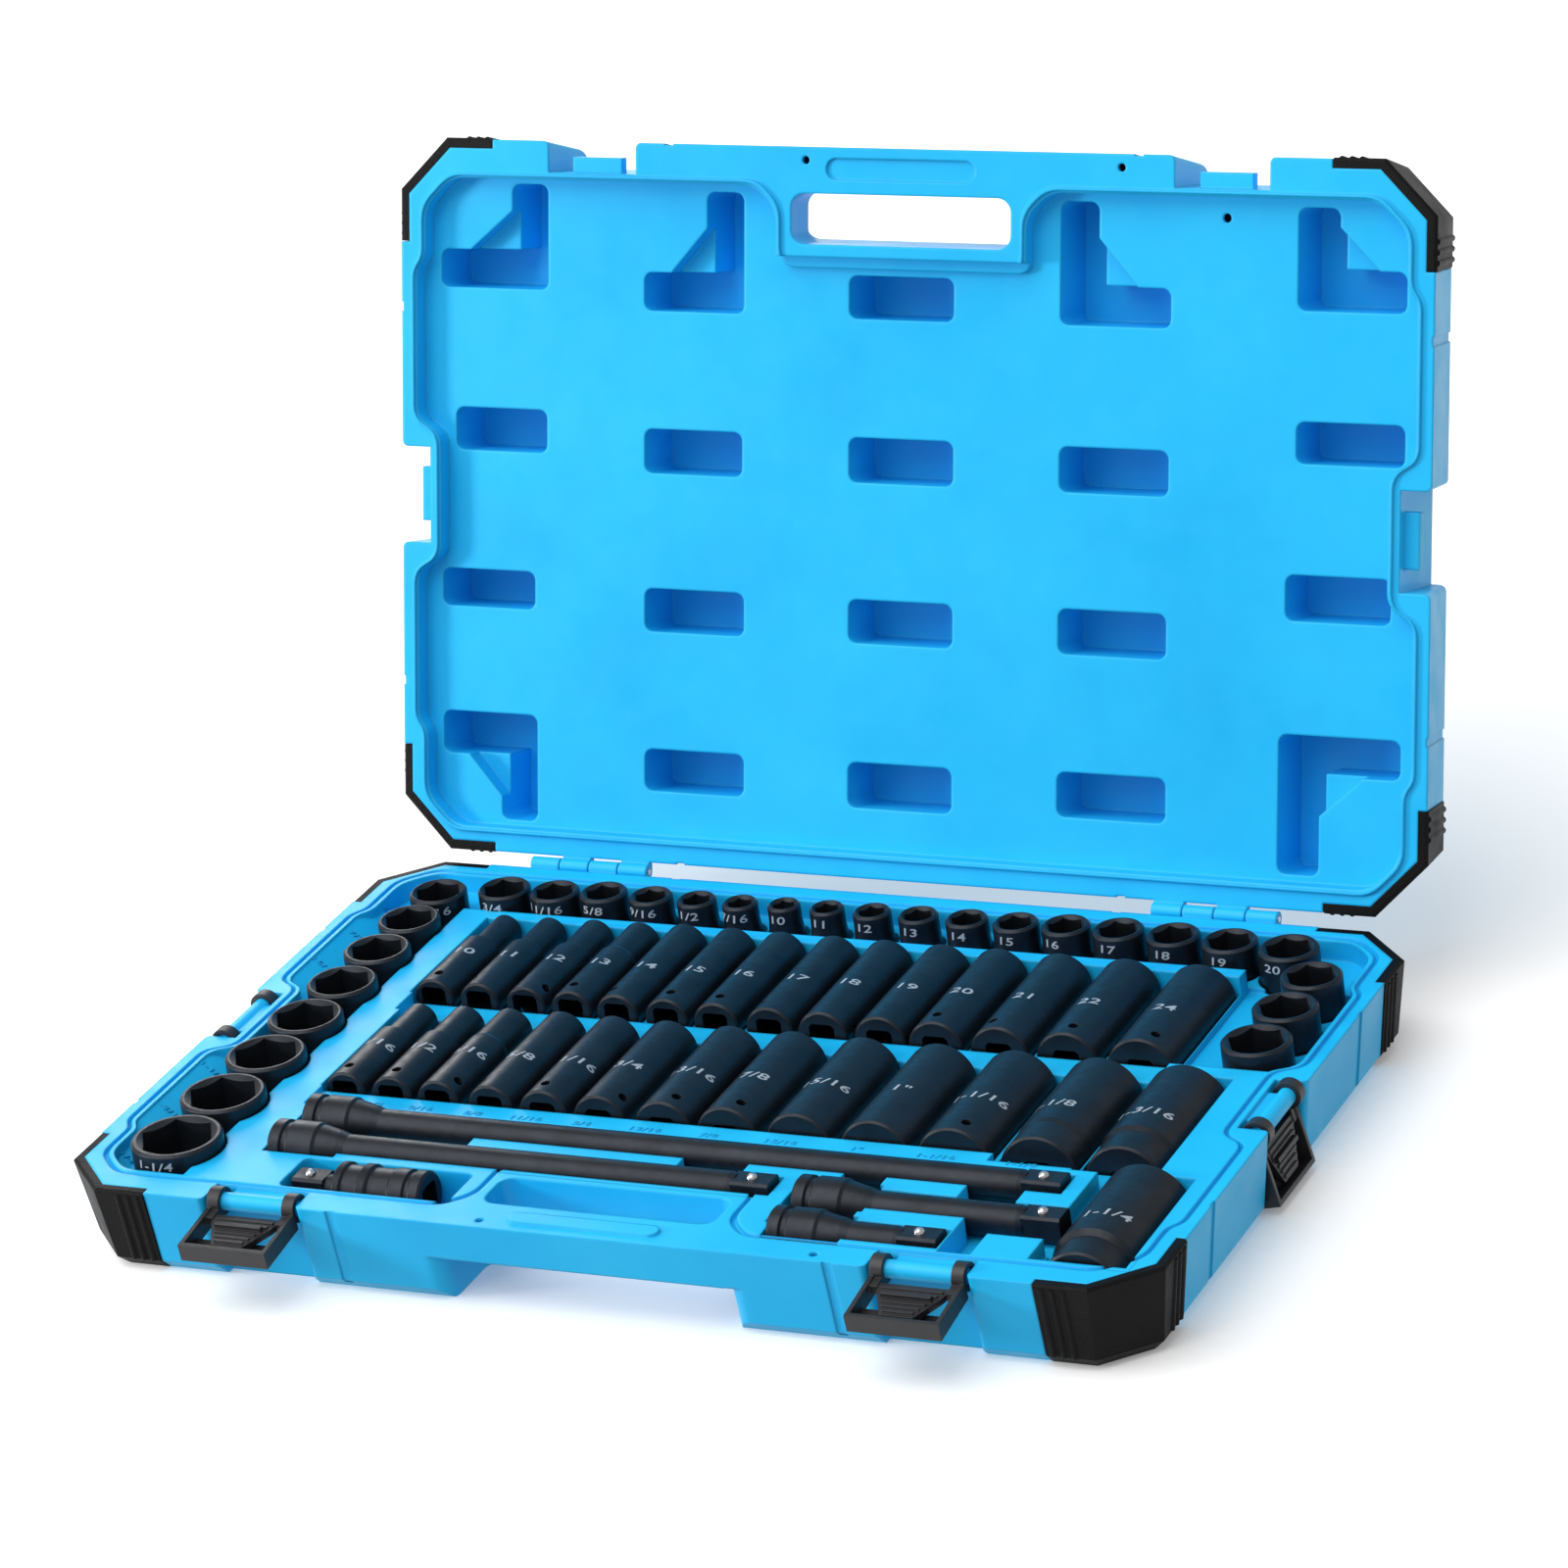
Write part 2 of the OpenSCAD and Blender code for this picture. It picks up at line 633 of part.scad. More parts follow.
module base_guard(sx, sy) {
    color(black) guard(sx, sy, base_h);
}

module lid_guard(sx, sy) {
    color(black) opened() over_base() guard(sx, sy, lid_h - rim_gap);
}

module hinge_pins() {
    color(bright) for (cx = [-hinge_x, hinge_x])
        translate([cx - 32.5, hinge_y, rim]) rotate([0, 90, 0]) cylinder(h = 65, r = pin_r);
}

// ---- Latches, drawn lying straight out with the pivot at the origin ----

module latch_body() {
    half = latch_w / 2;
    side_t = 2.2;
    tip = -latch_reach;
    difference() {
        union() {
            for (s = [-1, 1]) {
                translate([s * (half - hook_w / 2) - hook_w / 2, 0, 0]) rotate([0, 90, 0])
                    cylinder(h = hook_w, r = hook_r);
                translate([s * (half - hook_w / 2) - hook_w / 2, -13, -4.5]) cube([hook_w, 9, 4.2]);
                translate([s * (half - side_t / 2) - side_t / 2, tip, -latch_depth])
                    cube([side_t, latch_reach - 5, latch_depth + 0.5]);
            }
            translate([-half, tip, -latch_depth]) cube([latch_w, 2.4, latch_depth + 0.5]);
            translate([-half + 0.5, tip + 0.5, -latch_depth]) cube([latch_w - 1, 14, 1.8]);
            translate([0, 0, -4]) linear_extrude(3)
                polygon([[-17.5, -9], [-15.5, -16], [-8, -31], [8, -31], [15.5, -16], [17.5, -9]]);
            for (i = [0:5]) {
                ridge = 15 - 1.5 * i;
                translate([-ridge, -13.2 - 3.2 * i, -1.2]) cube([2 * ridge, 1.5, 1.1]);
            }
            translate([-12, -19.4, -1.2]) cube([24, 2.2, 2.6]);
            translate([-3, -32, -7.5]) cube([6, 5, 4]);
        }
        translate([-half - 1, 0, 0]) rotate([0, 90, 0]) cylinder(h = latch_w + 2, r = barrel_r + latch_fit);
    }
}

// A latch in its place, turned on its barrel to the given angle from shut
module latch(place, angle) {
    color(black) translate([place[0], place[1], rim - barrel_drop]) rotate([0, 0, place[2]])
        rotate([angle - 90, 0, 0]) latch_body();
}

// ---- Sockets and bars ----

// Square hole with eased corners, from z = -1 up to h
module square_hole(h) {
    intersection() {
        translate([-drive_hole / 2, -drive_hole / 2, -1]) cube([drive_hole, drive_hole, h + 1]);
        translate([0, 0, -1]) cylinder(h = h + 1, r = drive_hole * 0.62);
    }
}

// Hex cavity going down from height top, with a lead-in cone at its mouth
module hex_hole(af, top, depth, od) {
    across = af / cos(30);
    translate([0, 0, top - depth]) cylinder(h = depth + 1, d = across, $fn = 6);
    translate([0, 0, top - 1.8]) cylinder(h = 1.81, d1 = af, d2 = min(across + 1.6, od - 2.4));
}

// One impact socket standing on its drive end
module shallow_socket(s) {
    r1 = s[1] / 2;
    r0 = s[2] / 2;
    top = shallow_len;
    difference() {
        rotate_extrude() polygon([
            [0, 0], [r0 - 1, 0], [r0, 1], [r0, 12], [r0 - 0.01, 13], [r1, top - 9], [r1, top - 1.2], [r1 - 1.2, top],
            [0, top]
        ]);
        square_hole(15);
        hex_hole(s[0], top, min(20, 8 + s[0] * 0.6), s[1]);
        translate([0, 0, 14]) cylinder(h = top - 20, r = min(6, s[0] / 2 - 0.4));
        translate([0, 0, 7]) rotate([90, 0, 0]) cylinder(h = 60, r = 1.8, center = true);
    }
}

module shallow_group(group) {
    color(steel_black) for (s = group)
        translate([s[3], s[4], rim + tool_top - shallow_len]) shallow_socket(s);
}

// One deep socket standing on its drive end, pin hole on its +Y side
module deep_body(s) {
    r_nose = s[2] / 2;
    r = s[3] / 2;
    r_drive = s[4] / 2;
    step = s[2] < s[3] ? deep_len - 30 : deep_len - 4;
    neck = r_drive < r ? 16 : 4;
    difference() {
        rotate_extrude() polygon([
            [0, 0], [r_drive - 1, 0], [r_drive, 1], [r_drive, neck], [r, neck + 3], [r, step], [r_nose, step + 2.5],
            [r_nose, deep_len - 1.2], [r_nose - 1.2, deep_len], [0, deep_len]
        ]);
        square_hole(17);
        hex_hole(s[1], deep_len, 34, s[2]);
        translate([0, 0, 16]) cylinder(h = deep_len - 40, r = s[1] / 2 - 0.3);
        rotate([0, 0, s[6]]) translate([0, 0, 8.5]) rotate([90, 0, 0]) cylinder(h = 60, r = 2.3, center = true);
    }
}

// A deep socket lying in its cradle with its drive end to the front
module deep_socket(s, y0) {
    color(steel_black) translate([s[5], y0, deep_z(s)]) rotate([-90, 180, 0]) deep_body(s);
}

// One extension bar along +X, its socket end at the left
module extension(b) {
    length = b[1] - b[0];
    r = b[3];
    q = b[4];
    groove = 6;
    color(steel_black) translate([b[0], b[2], bar_z(b)]) rotate([0, 90, 0]) difference() {
        union() {
            rotate_extrude() polygon([
                [0, 0], [r - 1, 0], [r, 1], [r, groove], [r - 1.3, groove + 0.8], [r - 1.3, groove + 3],
                [r, groove + 3.8], [r, bar_head], [r - 1, bar_head + 1.5], [q + 1.2, bar_head + bar_taper - 4],
                [q, bar_head + bar_taper], [q, length - square_len - 3], [q - 0.8, length - square_len],
                [0, length - square_len]
            ]);
            intersection() {
                translate([-drive_end / 2, -drive_end / 2, length - square_len - 1])
                    cube([drive_end, drive_end, square_len + 1]);
                translate([0, 0, length - square_len - 1]) cylinder(h = square_len + 1, r = drive_end * 0.64);
            }
        }
        square_hole(17);
        translate([0, 0, 8]) rotate([90, 0, 0]) cylinder(h = 40, r = 2.2, center = true);
        translate([-drive_end / 2 + 0.4, 0, length - ball_back]) sphere(r = ball_r - press);
    }
}

// The sprung ball that holds a socket on the bar's square
module detent_ball(b) {
    color(bright) translate([b[1] - ball_back, b[2], bar_z(b) + drive_end / 2 - 0.4]) sphere(r = ball_r);
}

uj_z = rim + tool_top - uj_r;

// Socket half of the universal joint: a cup round the ball, with two knurled rings
module universal_joint_cup() {
    reach = uj_right - uj_ball[0];
    color(steel_black) translate([uj_ball[0], uj_ball[1], uj_z]) rotate([0, 90, 0]) difference() {
        rotate_extrude() polygon([
            [0, -4.5], [11.6, -4.5], [12.6, -3.5], [12.6, 0], [11.6, 0.6], [11.6, 8], [12.6, 8.6], [12.6, 13],
            [11.4, 14], [11.4, 24], [12.2, 25], [12.2, reach - 9], [11, reach - 8.2], [11, reach - 6.2],
            [12.2, reach - 5.4], [12.2, reach - 1], [11.2, reach], [0, reach]
        ]);
        sphere(r = uj_ball_r + 0.35);
        translate([0, 0, -10]) cylinder(h = 10, r1 = 13.6, r2 = uj_ball_r + 0.25);
        translate([0, 0, reach]) mirror([0, 0, 1]) square_hole(17);
        translate([0, 0, reach - 8]) rotate([90, 0, 0]) cylinder(h = 40, r = 2.2, center = true);
        rotate([90, 0, 0]) cylinder(h = 30, r = 2 - press, center = true);
    }
}

// Driving half: the ball, its neck and the square that a wrench turns
module universal_joint_driver() {
    back = uj_ball[0] - uj_left;
    color(steel_black) translate([uj_ball[0], uj_ball[1], uj_z]) rotate([0, -90, 0]) difference() {
        union() {
            sphere(r = uj_ball_r);
            translate([0, 0, 2]) cylinder(h = 10, r = 6.2);
            intersection() {
                translate([-drive_end / 2, -drive_end / 2, 11]) cube([drive_end, drive_end, back - 11]);
                translate([0, 0, 11]) cylinder(h = back - 11, r = drive_end * 0.64);
            }
        }
        translate([drive_end / 2 - 0.4, 0, back - 7]) sphere(r = ball_r - press);
        rotate([90, 0, 0]) cylinder(h = 40, r = 2.06, center = true);
    }
}

// Cross pin that keeps the ball in the cup
module universal_joint_pin() {
    color(bright) translate([uj_ball[0], uj_ball[1], uj_z]) rotate([90, 0, 0]) cylinder(h = 21.6, r = 2, center = true);
}

module universal_joint_ball() {
    color(bright) translate([uj_left + 7, uj_ball[1], uj_z + drive_end / 2 - 0.4]) sphere(r = ball_r);
}

// ---- What is drawn ----

base_shell();
base_tray();
lid_shell();
base_guard(-1, -1);  // guard_base_front_left
base_guard(1, -1);  // guard_base_front_right
base_guard(-1, 1);  // guard_base_back_left
base_guard(1, 1);  // guard_base_back_right
lid_guard(-1, -1);  // guard_lid_front_left
lid_guard(1, -1);  // guard_lid_front_right
lid_guard(-1, 1);  // guard_lid_back_left
lid_guard(1, 1);  // guard_lid_back_right
hinge_pins();
latch(LATCHES[0], latch_open_front);  // latch_front_left
latch(LATCHES[1], latch_open_front);  // latch_front_right
latch(LATCHES[2], latch_open_side);  // latch_left
latch(LATCHES[3], latch_open_side);  // latch_right
shallow_group(SHALLOW_LEFT);  // shallow_sockets_left_column
shallow_group(SHALLOW_INCH);  // shallow_sockets_back_inch
shallow_group(SHALLOW_METRIC);  // shallow_sockets_back_metric
shallow_group(SHALLOW_RIGHT);  // shallow_sockets_right_column
extension(BAR_15);  // extension_15in
extension(BAR_10);  // extension_10in
extension(BAR_5);  // extension_5in
extension(BAR_3);  // extension_3in
detent_ball(BAR_15);  // detent_ball_15in
detent_ball(BAR_10);  // detent_ball_10in
detent_ball(BAR_5);  // detent_ball_5in
detent_ball(BAR_3);  // detent_ball_3in
universal_joint_cup();
universal_joint_driver();
universal_joint_pin();
universal_joint_ball();
for (s = DEEP_BACK)
    deep_socket(s, deep_back_y);
for (s = DEEP_FRONT)
    deep_socket(s, deep_front_y);
for (s = DEEP_CORNER)
    deep_socket(s, deep_corner_y);
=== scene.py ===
"""Socket wrench set in its case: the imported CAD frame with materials, size marks and studio light."""
import json
import math
import bmesh
import bpy
from mathutils import Matrix, Vector


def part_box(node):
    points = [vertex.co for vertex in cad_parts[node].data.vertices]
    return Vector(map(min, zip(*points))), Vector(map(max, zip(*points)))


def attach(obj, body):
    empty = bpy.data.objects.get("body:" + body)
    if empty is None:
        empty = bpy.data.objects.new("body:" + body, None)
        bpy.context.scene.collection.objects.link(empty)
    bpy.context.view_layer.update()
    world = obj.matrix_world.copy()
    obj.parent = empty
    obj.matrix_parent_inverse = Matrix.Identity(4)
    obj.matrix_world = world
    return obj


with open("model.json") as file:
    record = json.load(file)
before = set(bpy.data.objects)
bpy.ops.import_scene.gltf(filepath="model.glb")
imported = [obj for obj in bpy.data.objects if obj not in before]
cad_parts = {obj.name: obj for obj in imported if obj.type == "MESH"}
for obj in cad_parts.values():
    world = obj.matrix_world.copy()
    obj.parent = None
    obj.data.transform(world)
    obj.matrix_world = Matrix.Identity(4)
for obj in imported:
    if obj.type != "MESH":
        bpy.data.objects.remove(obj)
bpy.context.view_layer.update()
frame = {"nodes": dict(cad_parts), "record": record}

scene = bpy.context.scene
nodes = frame["nodes"]
MM = 0.001
RIM = 44.0
TOOL_TOP = 6.5
TOP = RIM + TOOL_TOP
FLOOR_HALF = 6

# ---------------------------------------------------------------- camera and stage

# Where the camera stands, and the ways its right side and its back point
CAMERA_PLACE = (1.3251, -2.4392, 1.3832)
CAMERA_RIGHT = (0.9022, 0.4123, -0.1265)
CAMERA_BACK = (0.4269, -0.8119, 0.3982)
LENS_MM = 152.28

cam_data = bpy.data.cameras.new("camera")
cam_data.lens = LENS_MM
cam_data.sensor_width = 36.0
cam_data.clip_end = 50.0
camera = bpy.data.objects.new("camera", cam_data)
scene.collection.objects.link(camera)
right = Vector(CAMERA_RIGHT).normalized()
back = Vector(CAMERA_BACK).normalized()
up = back.cross(right).normalized()
right = up.cross(back).normalized()
turn = Matrix((right, up, back)).transposed()
camera.matrix_world = Matrix.Translation(CAMERA_PLACE) @ turn.to_4x4()
scene.camera = camera


# ---------------------------------------------------------------- node materials

class Nodes:
    """A material and short ways to write its node tree."""

    def __init__(self, name):
        self.mat = bpy.data.materials.new(name)
        self.mat.use_nodes = True
        self.tree = self.mat.node_tree
        self.bsdf = self.tree.nodes["Principled BSDF"]
        self.pos = self.tree.nodes.new("ShaderNodeTexCoord").outputs["Object"]

    def add(self, kind, **sockets):
        node = self.tree.nodes.new("ShaderNode" + kind)
        for key, value in sockets.items():
            if key == "samples":
                setattr(node, key, value)
                continue
            socket = node.inputs[key.replace("_", " ")]
            if isinstance(value, bpy.types.NodeSocket):
                self.tree.links.new(value, socket)
            else:
                socket.default_value = value
        return node

    def link(self, out, socket):
        self.tree.links.new(out, self.bsdf.inputs[socket])

    def noise(self, scale, detail=3.0, rough=0.5):
        node = self.add("TexNoise", Vector=self.pos, Scale=scale, Detail=detail, Roughness=rough)
        return node.outputs["Fac"]

    def ramp(self, fac, stops):
        node = self.add("ValToRGB", Fac=fac)
        ramp = node.color_ramp
        while len(ramp.elements) < len(stops):
            ramp.elements.new(0.5)
        for element, (place, colour) in zip(ramp.elements, stops):
            element.position = place
            element.color = (*colour, 1.0)
        return node.outputs["Color"]

    def span(self, fac, low, high, out_low, out_high):
        node = self.tree.nodes.new("ShaderNodeMapRange")
        self.tree.links.new(fac, node.inputs["Value"])
        limits = {"From Min": low, "From Max": high, "To Min": out_low, "To Max": out_high}
        for key, value in limits.items():
            node.inputs[key].default_value = value
        return node.outputs["Result"]

    def bump(self, fac, strength, distance, normal=None):
        node = self.add("Bump", Height=fac, Strength=strength, Distance=distance)
        if normal is not None:
            self.tree.links.new(normal, node.inputs["Normal"])
        return node.outputs["Normal"]

    def soft_edge(self, radius):
        return self.add("Bevel", Radius=radius, samples=6).outputs["Normal"]


def plastic(name, dark, base, pale, rough, edge, grain, grain_depth):
    """Moulded plastic: cloudy colour, an orange-peel skin and softened edges."""
    m = Nodes(name)
    cloud = m.noise(9.0, 4.0, 0.6)
    m.link(m.ramp(cloud, [(0.25, dark), (0.5, base), (0.8, pale)]), "Base Color")
    m.link(m.span(m.noise(60.0, 4.0), 0.3, 0.7, rough - 0.05, rough + 0.07), "Roughness")
    soft = m.soft_edge(edge)
    wave = m.bump(m.noise(28.0, 2.0), 0.25, 0.0012, soft)
    m.link(m.bump(m.noise(grain, 2.0), grain_depth, 0.0002, wave), "Normal")
    return m


def steel(name, dark, base, rough):
    """Black-oxide steel: faint speckle, rub marks and a satin coat."""
    m = Nodes(name)
    cloud = m.noise(70.0, 5.0, 0.6)
    m.link(m.ramp(cloud, [(0.3, dark), (0.75, base)]), "Base Color")
    m.link(m.span(m.noise(240.0, 4.0), 0.3, 0.7, rough - 0.06, rough + 0.08), "Roughness")
    m.bsdf.inputs["Metallic"].default_value = 0.55
    m.bsdf.inputs["Specular IOR Level"].default_value = 0.5
    soft = m.soft_edge(0.0005)
    m.link(m.bump(m.noise(1900.0, 2.0), 0.5, 0.00014, soft), "Normal")
    return m


blue = plastic(
    "blue_plastic",
    dark=(0.004, 0.43, 0.85), base=(0.01, 0.49, 0.91), pale=(0.018, 0.55, 0.96),
    rough=0.38, edge=0.0018, grain=1400.0, grain_depth=0.2)
blue.bsdf.inputs["Specular IOR Level"].default_value = 0.3
guard = plastic(
    "guard_rubber",
    dark=(0.0015, 0.0013, 0.0014), base=(0.003, 0.0027, 0.0028), pale=(0.007, 0.0065, 0.0068),
    rough=0.5, edge=0.001, grain=1100.0, grain_depth=1.6)
guard.bsdf.inputs["Specular IOR Level"].default_value = 0.12
latch = plastic(
    "latch_plastic",
    dark=(0.008, 0.008, 0.01), base=(0.014, 0.014, 0.016), pale=(0.024, 0.024, 0.028),
    rough=0.42, edge=0.0007, grain=1800.0, grain_depth=0.4)
black = steel("black_oxide_steel", (0.009, 0.012, 0.017), (0.018, 0.023, 0.031), 0.38)
bright = steel("polished_steel", (0.5, 0.5, 0.52), (0.75, 0.75, 0.78), 0.16)
bright.bsdf.inputs["Metallic"].default_value = 1.0

mark = Nodes("etched_marks")
MARK_DARK = (0.33, 0.38, 0.43)
MARK_PALE = (0.50, 0.55, 0.60)
mark.link(mark.ramp(mark.noise(400.0), [(0.2, MARK_DARK), (0.8, MARK_PALE)]), "Base Color")
mark.bsdf.inputs["Roughness"].default_value = 0.55
mark.bsdf.inputs["Metallic"].default_value = 0.2

SLOT_MATERIAL = {
    "shell": blue,
    "guard": guard,
    "latch": latch,
    "black_steel": black,
    "bright_steel": bright,
}


def use(obj, material):
    obj.data.materials.clear()
    obj.data.materials.append(material.mat)


for part in frame["record"]["subparts"]:
    use(nodes[part["node"]], SLOT_MATERIAL[part["material_slot"]])


# ---------------------------------------------------------------- size marks

# In millimetres, but for CAPITAL, the height of a capital over the font's size
CAPITAL = 0.69
MARK_PROUD = 0.1
FINEST_EDGE = 0.7
DEEP_MARK = 5.0
DEEP_MARK_FROM_DRIVE = 34
SHALLOW_MARK = 4.0
SHALLOW_MARK_DROP = 5.8


def text_mesh(words, height, bold=0.02, slant=0.08, wide=1.5, raised=0.0):
    """Vertices and faces of a word, centred, with capitals of the given height in millimetres."""
    curve = bpy.data.curves.new("word", "FONT")
    curve.body = words
    curve.size = height / CAPITAL
    curve.shear = slant
    curve.offset = bold * height
    curve.extrude = raised
    curve.space_character = 1.08
    curve.align_x = "CENTER"
    curve.align_y = "CENTER"
    curve.resolution_u = 3
    obj = bpy.data.objects.new("word", curve)
    scene.collection.objects.link(obj)
    bpy.context.view_layer.update()
    mesh = bpy.data.meshes.new_from_object(obj.evaluated_get(bpy.context.evaluated_depsgraph_get()))
    fine = bmesh.new()
    fine.from_mesh(mesh)
    for vert in fine.verts:
        vert.co.x *= wide
    bmesh.ops.triangulate(fine, faces=fine.faces[:])
    for _ in range(3):
        wide_edges = [e for e in fine.edges if abs(e.verts[0].co.x - e.verts[1].co.x) > FINEST_EDGE]
        bmesh.ops.subdivide_edges(fine, edges=wide_edges, cuts=1)
        bmesh.ops.triangulate(fine, faces=fine.faces[:])
    fine.verts.index_update()
    verts = [v.co.copy() for v in fine.verts]
    faces = [tuple(v.index for v in f.verts) for f in fine.faces]
    fine.free()
    bpy.data.objects.remove(obj)
    bpy.data.curves.remove(curve)
    bpy.data.meshes.remove(mesh)
    return verts, faces


class Marks:
    """Collects words into one mesh that rides on a body."""

    def __init__(self):
        self.verts = []
        self.faces = []

    def add(self, words, height, place, raised=0.0):
        verts, faces = text_mesh(words, height, raised=raised)
        start = len(self.verts)
        self.verts += [place(v) for v in verts]
        self.faces += [tuple(i + start for i in f) for f in faces]

    def build(self, name, body, material, slot):
        mesh = bpy.data.meshes.new(name)
        mesh.from_pydata([tuple(c * MM for c in v) for v in self.verts], [], self.faces)
        mesh.update()
        obj = bpy.data.objects.new(name, mesh)
        scene.collection.objects.link(obj)
        use(obj, material)
        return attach(obj, body)


def on_lying(cx, cy, radius, roll=0.0):
    """Wraps a flat word over the top of a socket that lies along Y."""
    cz = RIM + TOOL_TOP - radius

    def place(v):
        angle = v.x / radius + math.radians(roll)
        r = radius + MARK_PROUD
        return (cx + r * math.sin(angle), cy + v.y, cz + r * math.cos(angle))
    return place


def on_standing(cx, cy, radius, z, turned):
    """Wraps a word round an upright socket; turned is the angle of its middle from -Y, towards +X."""
    def place(v):
        angle = v.x / radius + math.radians(turned)
        r = radius + MARK_PROUD
        return (cx + r * math.sin(angle), cy - r * math.cos(angle), z + v.y)
    return place


def size_of(node):
    """The size marked on a socket, from its node's name."""
    tail = node.replace("deep_socket_", "").replace("shallow_socket_", "")
    if tail.endswith("mm"):
        return tail[:-2]
    bits = tail[:-2].split("_")
    if len(bits) == 1:
        return bits[0] + '"'
    if len(bits) == 2:
        return bits[0] + "/" + bits[1]
    return bits[0] + "-" + bits[1] + "/" + bits[2]


# Degrees that these sockets have rolled in their cradles
MARK_ROLL = {"deep_socket_1_1_8in": -19.0, "deep_socket_1_3_16in": -8.0, "deep_socket_22mm": -5.0}

for body in ("deep_metric_row", "deep_inch_row"):
    marks = Marks()
    for name in frame["record"]["behaviour"]["bodies"][body]:
        low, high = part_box(name)
        cx = (low.x + high.x) / 2 / MM
        cy = low.y / MM + DEEP_MARK_FROM_DRIVE
        radius = (high.x - low.x) / 2 / MM
        marks.add(size_of(name), DEEP_MARK, on_lying(cx, cy, radius, MARK_ROLL.get(name, 0.0)))
    marks.build("marks_" + body, body, mark, "black_steel")

GROUPS = {
    "shallow_sockets_left_column": "left_column",
    "shallow_sockets_back_inch": "back_row",
    "shallow_sockets_back_metric": "back_row",
    "shallow_sockets_right_column": "right_column",
}
centres = {}
for opening in frame["record"]["physics"]["openings"]:
    if opening["name"].startswith("shallow_socket"):
        (x0, y0, z0), (x1, y1, z1) = opening["box_m"]
        centres[opening["name"]] = ((x0 + x1) / 2 / MM, (y0 + y1) / 2 / MM)


def socket_radii(node):
    """Outer radius at the hex end of each upright socket in a node, in millimetres."""
    radii = {}
    for vert in nodes[node].data.vertices:
        x, y, z = (c / MM for c in vert.co)
        if not TOP - 9.5 < z < TOP - 1:
            continue
        name = min(centres, key=lambda n: math.hypot(centres[n][0] - x, centres[n][1] - y))
        radii[name] = max(radii.get(name, 0.0), math.hypot(centres[name][0] - x, centres[name][1] - y))
    return radii


standing = {"left_column": Marks(), "back_row": Marks(), "right_column": Marks()}

# Degrees from -Y that the marks face: the back row's to the front, the columns' to the back, a few their own way
ROW_TURN = -8.0
COLUMN_TURN = 165.0
OWN_TURN = {
    "shallow_socket_1_1_4in": -4.0,
    "shallow_socket_13_16in": 8.0,
    "shallow_socket_16mm": -18.0,
    "shallow_socket_20mm": -15.0,
}
for node, body in GROUPS.items():
    for name, radius in socket_radii(node).items():
        cx, cy = centres[name]
        turned = OWN_TURN.get(name, ROW_TURN if body == "back_row" else COLUMN_TURN)
        place = on_standing(cx, cy, radius, TOP - SHALLOW_MARK_DROP, turned)
        standing[body].add(size_of(name), SHALLOW_MARK, place)
for body, marks in standing.items():
    marks.build("marks_" + body, body, mark, "black_steel")


# ---------------------------------------------------------------- embossed sizes on the tray

def on_flat(cx, cy, z, tilt=0.0):
    """Lays a raised word on the tray, tilted about Y by the slope of the floor under it."""
    lean = math.radians(tilt)

    def place(v):
        return (cx + v.x * math.cos(lean) + v.z * math.sin(lean), cy + v.y,
                z - v.x * math.sin(lean) + v.z * math.cos(lean))
    return place


EMBOSS = 0.3
STRIP_DEPTH = 3.0
STRIP_Y = -70.5
SLOPE_X = -257.5
SLOPE_DEPTH = 4.8
SLOPE_TILT = 37.0
emboss = Marks()
for name in frame["record"]["behaviour"]["bodies"]["deep_inch_row"]:
    low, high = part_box(name)
    if low.y > -0.07 and high.x < 0.2:
        cx = (low.x + high.x) / 2 / MM - 4
        emboss.add(size_of(name), 3.2, on_flat(cx, STRIP_Y, RIM - STRIP_DEPTH), EMBOSS)
for name, (cx, cy) in centres.items():
    if cx < -210 and abs(cy) > 40:
        place = on_flat(SLOPE_X, cy - 2, RIM - SLOPE_DEPTH, SLOPE_TILT)
        emboss.add(size_of(name), 2.8, place, EMBOSS)
emboss.build("tray_embossed_sizes", "base", blue, "shell")


# ---------------------------------------------------------------- knurled rings of the universal joint

KNURL_RADIUS = 12.6
KNURL_CREST = 0.4
KNURL_VALLEY = 0.1


def knurl(name, x0, x1, radius, cy, cz, body):
    """A band of diamond knurling round the X axis, with its two ends sunk under the surface."""
    around = 132
    along = max(6, round((x1 - x0) * 2.4))
    verts = []
    faces = []
    for i in range(along + 1):
        edge = min(i, along - i)
        for k in range(around):
            crest = (k + i) % 2
            lift = (KNURL_CREST if crest else KNURL_VALLEY) if edge else -0.25
            angle = 2 * math.pi * k / around
            r = radius + lift
            verts.append((x0 + (x1 - x0) * i / along, cy + r * math.cos(angle), cz + r * math.sin(angle)))
    for i in range(along):
        for k in range(around):
            n = (k + 1) % around
            faces.append((i * around + k, i * around + n, (i + 1) * around + n, (i + 1) * around + k))
    mesh = bpy.data.meshes.new(name)
    mesh.from_pydata([tuple(c * MM for c in v) for v in verts], [], faces)
    mesh.update()
    obj = bpy.data.objects.new(name, mesh)
    scene.collection.objects.link(obj)
    use(obj, black)
    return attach(obj, body)


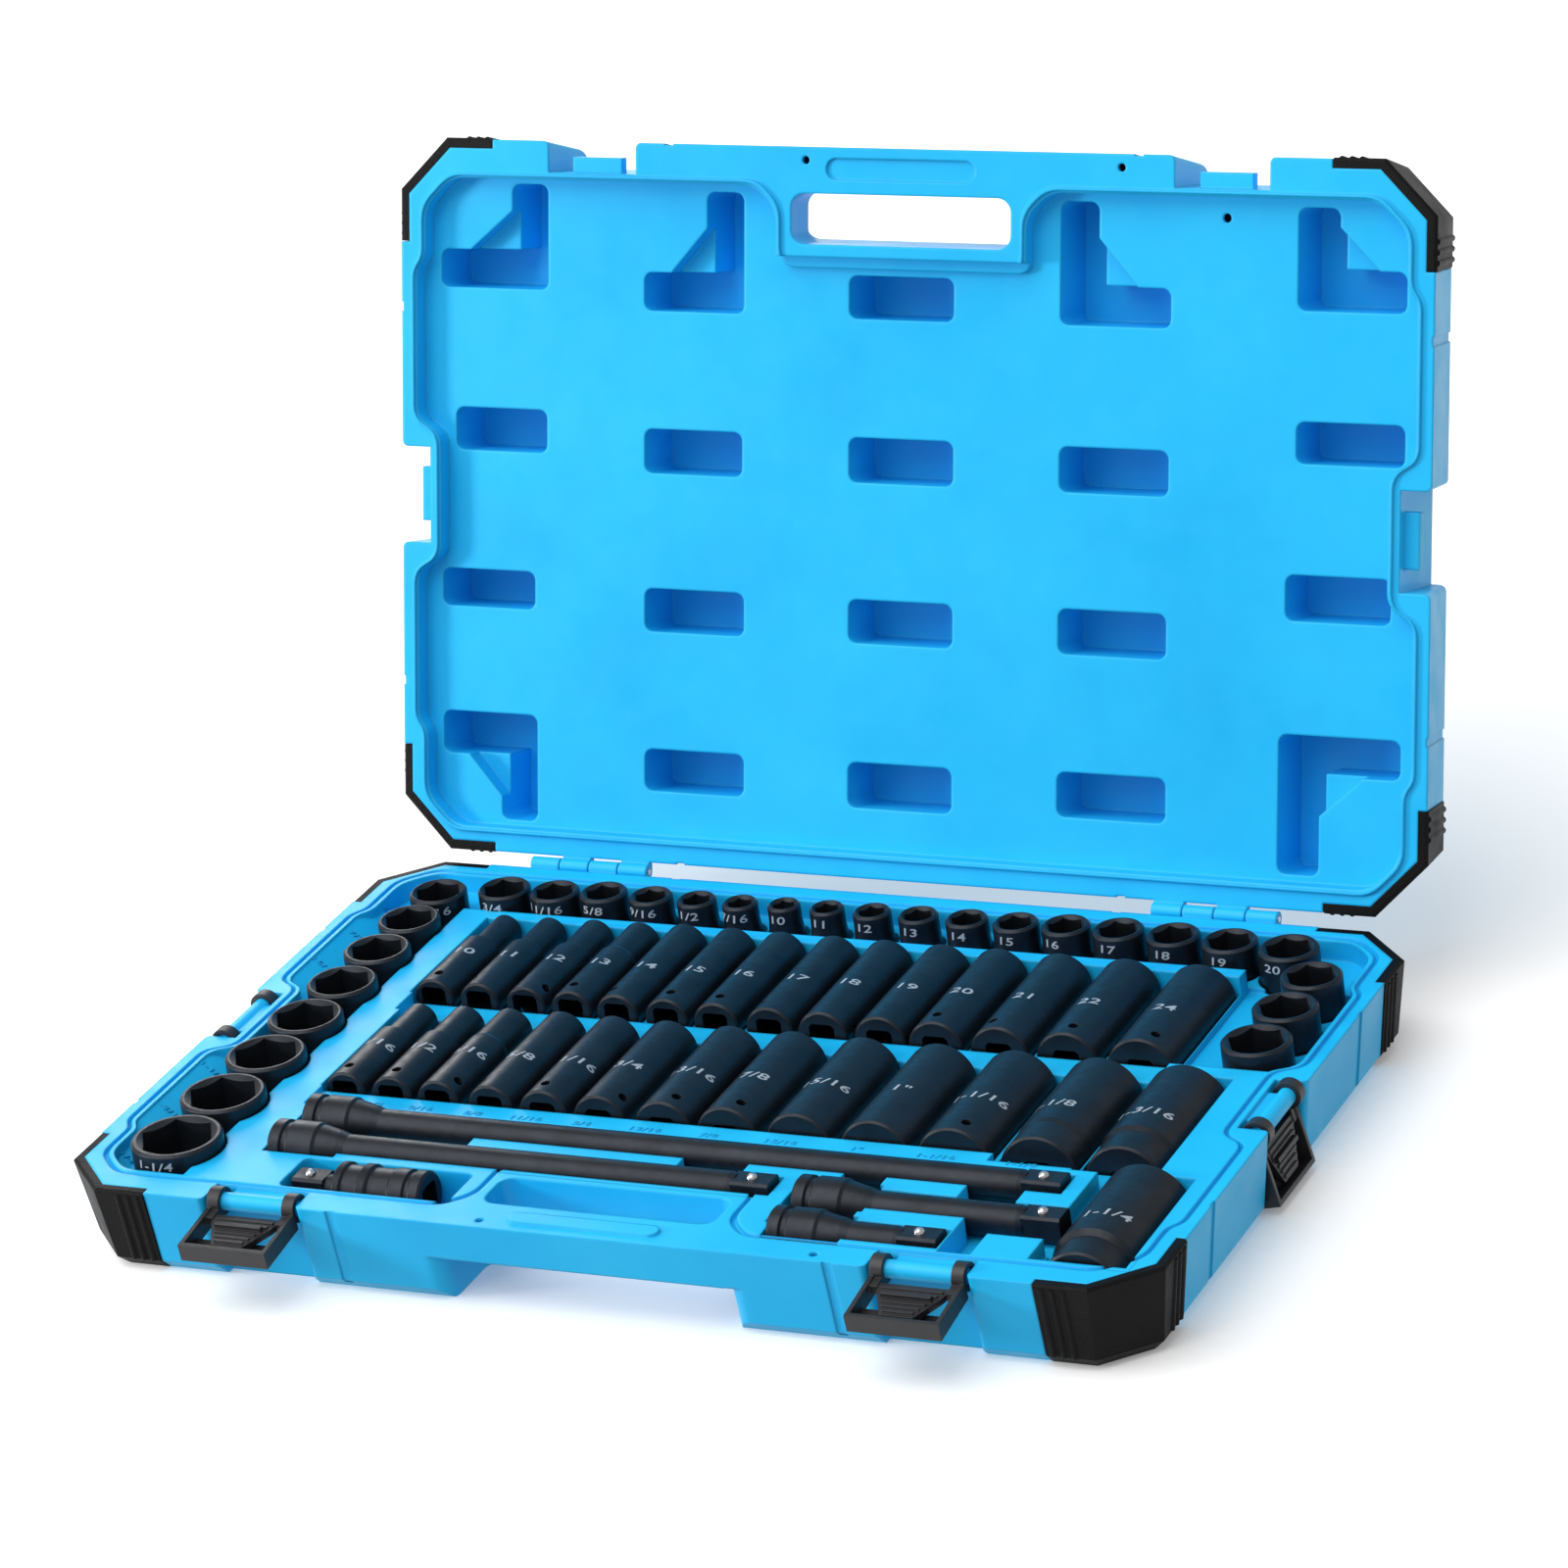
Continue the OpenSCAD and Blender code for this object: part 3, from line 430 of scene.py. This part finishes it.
cup_low, cup_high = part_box("universal_joint_cup")
uj_x = cup_low.x / MM + 4.5
uj_y = (cup_low.y + cup_high.y) / 2 / MM
uj_z = (cup_low.z + cup_high.z) / 2 / MM
knurl("universal_joint_knurl_mouth", uj_x - 3.4, uj_x + 0.1, KNURL_RADIUS, uj_y, uj_z, "universal_joint")
knurl("universal_joint_knurl_middle", uj_x + 8.5, uj_x + 13.1, KNURL_RADIUS, uj_y, uj_z, "universal_joint")


# ---------------------------------------------------------------- floor and light

floor_mesh = bpy.data.meshes.new("floor")
corners = [(-1, -1), (1, -1), (1, 1), (-1, 1)]
floor_mesh.from_pydata([(x * FLOOR_HALF, y * FLOOR_HALF, 0) for x, y in corners], [], [(0, 1, 2, 3)])
floor = bpy.data.objects.new("floor", floor_mesh)
scene.collection.objects.link(floor)
pale = Nodes("floor_pale")
pale.bsdf.inputs["Base Color"].default_value = (0.92, 0.92, 0.92, 1.0)
pale.bsdf.inputs["Roughness"].default_value = 0.9
pale.bsdf.inputs["Emission Color"].default_value = (1.0, 1.0, 1.0, 1.0)
pale.bsdf.inputs["Emission Strength"].default_value = 0.16
use(floor, pale)

world = bpy.data.worlds.new("studio")
scene.world = world
world.use_nodes = True
background = world.node_tree.nodes["Background"]
background.inputs["Color"].default_value = (1.0, 1.0, 1.0, 1.0)
background.inputs["Strength"].default_value = 0.5

# The floor throws no light back up, so the sides fall off as they do between dark studio flags
floor.visible_diffuse = False


def aim(obj, place, target):
    obj.location = place
    obj.rotation_euler = (Vector(target) - Vector(place)).to_track_quat("-Z", "Y").to_euler()


def sun(name, place, power, spread):
    data = bpy.data.lights.new(name, "SUN")
    data.energy = power
    data.angle = math.radians(spread)
    obj = bpy.data.objects.new(name, data)
    scene.collection.objects.link(obj)
    aim(obj, place, (0, 0, 0))


def softbox(name, place, target, size, power):
    data = bpy.data.lights.new(name, "AREA")
    data.size = size
    data.energy = power
    obj = bpy.data.objects.new(name, data)
    scene.collection.objects.link(obj)
    aim(obj, place, target)


sun("sky", (-0.8, -1.2, 2.6), 1.9, 60.0)
softbox("sheen", (-1.6, 2.4, 1.1), (-0.2, 0.1, 0.1), 1.4, 22.0)
softbox("lid_wash", (-2.2, -1.1, 0.75), (-0.05, 0.24, 0.25), 0.5, 34.0)

scene.view_settings.view_transform = "Standard"
